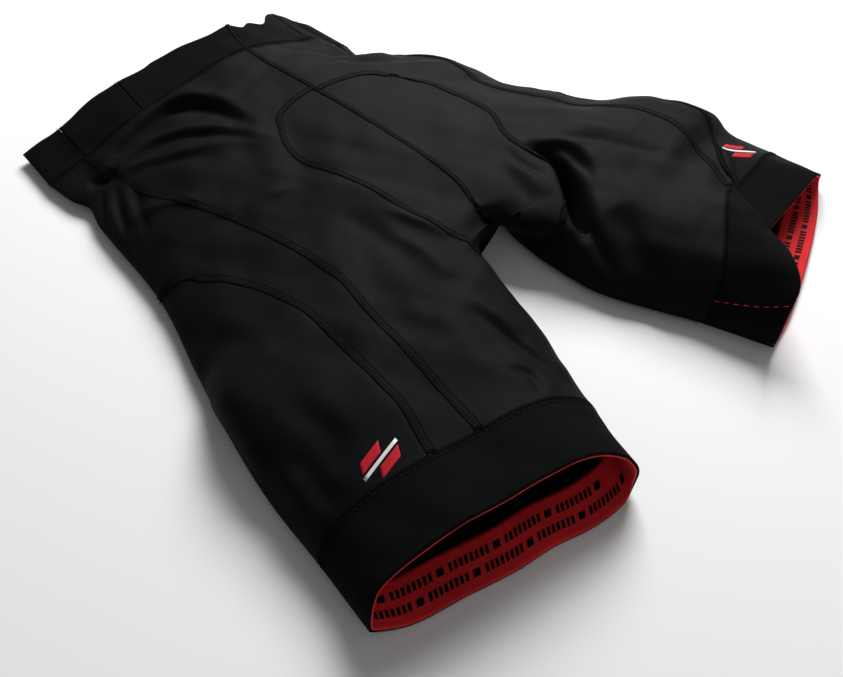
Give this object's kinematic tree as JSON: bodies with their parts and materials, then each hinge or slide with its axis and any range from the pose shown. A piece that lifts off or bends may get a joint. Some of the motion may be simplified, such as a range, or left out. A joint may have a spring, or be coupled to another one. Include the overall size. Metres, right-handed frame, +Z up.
{
  "type": "padded cycling shorts",
  "caption": "Close-fitting padded cycling shorts lying flat, front side up, with sewn panels, seat pad, waistband and elastic leg bands with a red gripper lining.",
  "frame": {"origin": "middle of the underside of the whole garment, on the surface that it lies on", "axes": "+Z up out of the surface, +Y from the leg openings towards the waist, +X towards the wearer's left"},
  "size_m": [0.5056, 0.5236, 0.0478],
  "materials": {
    "stretch_fabric": "smooth knit with a slight sheen",
    "side_fabric": "smooth knit, slightly bluish black",
    "band_elastic": "matte ribbed elastic",
    "red_gripper": "matte silicone-backed elastic",
    "stitching": "matte flatlock thread",
    "pad_foam": "brushed fabric over foam",
    "badge_red": "satin heat transfer",
    "label_white": "woven label"
  },
  "bodies": {
    "root": {"gusset_panel_right": "stretch_fabric", "front_panel_right": "stretch_fabric", "back_panel_right": "stretch_fabric", "side_panel_front_right": "side_fabric", "side_panel_back_right": "side_fabric", "outer_thigh_panel_right": "side_fabric", "waistband_front_right": "band_elastic", "waistband_hip_right": "band_elastic", "waistband_back_right": "band_elastic", "waist_elastic_right": "band_elastic", "leg_band_right": "band_elastic", "leg_gripper_right": "red_gripper", "badge_right": "badge_red", "chamois_front_right": "pad_foam", "sit_pad_right": "pad_foam", "seam_front_right": "stitching", "seam_arch_right": "stitching", "seam_gusset_right": "stitching", "seam_waistband_right": "stitching", "seam_leg_band_right": "stitching", "inseam_right": "stitching", "seam_back_right": "stitching", "gusset_panel_left": "stretch_fabric", "front_panel_left": "stretch_fabric", "back_panel_left": "stretch_fabric", "side_panel_front_left": "side_fabric", "side_panel_back_left": "side_fabric", "outer_thigh_panel_left": "side_fabric", "waistband_front_left": "band_elastic", "waistband_hip_left": "band_elastic", "waistband_back_left": "band_elastic", "waist_elastic_left": "band_elastic", "leg_band_left": "band_elastic", "leg_gripper_left": "red_gripper", "badge_left": "badge_red", "chamois_front_left": "pad_foam", "sit_pad_left": "pad_foam", "seam_front_left": "stitching", "seam_arch_left": "stitching", "seam_gusset_left": "stitching", "seam_waistband_left": "stitching", "seam_leg_band_left": "stitching", "inseam_left": "stitching", "seam_back_left": "stitching", "seam_centre_front": "stitching", "seam_centre_back": "stitching", "chamois_rear": "pad_foam", "care_label": "label_white"}
  },
  "joints": []
}
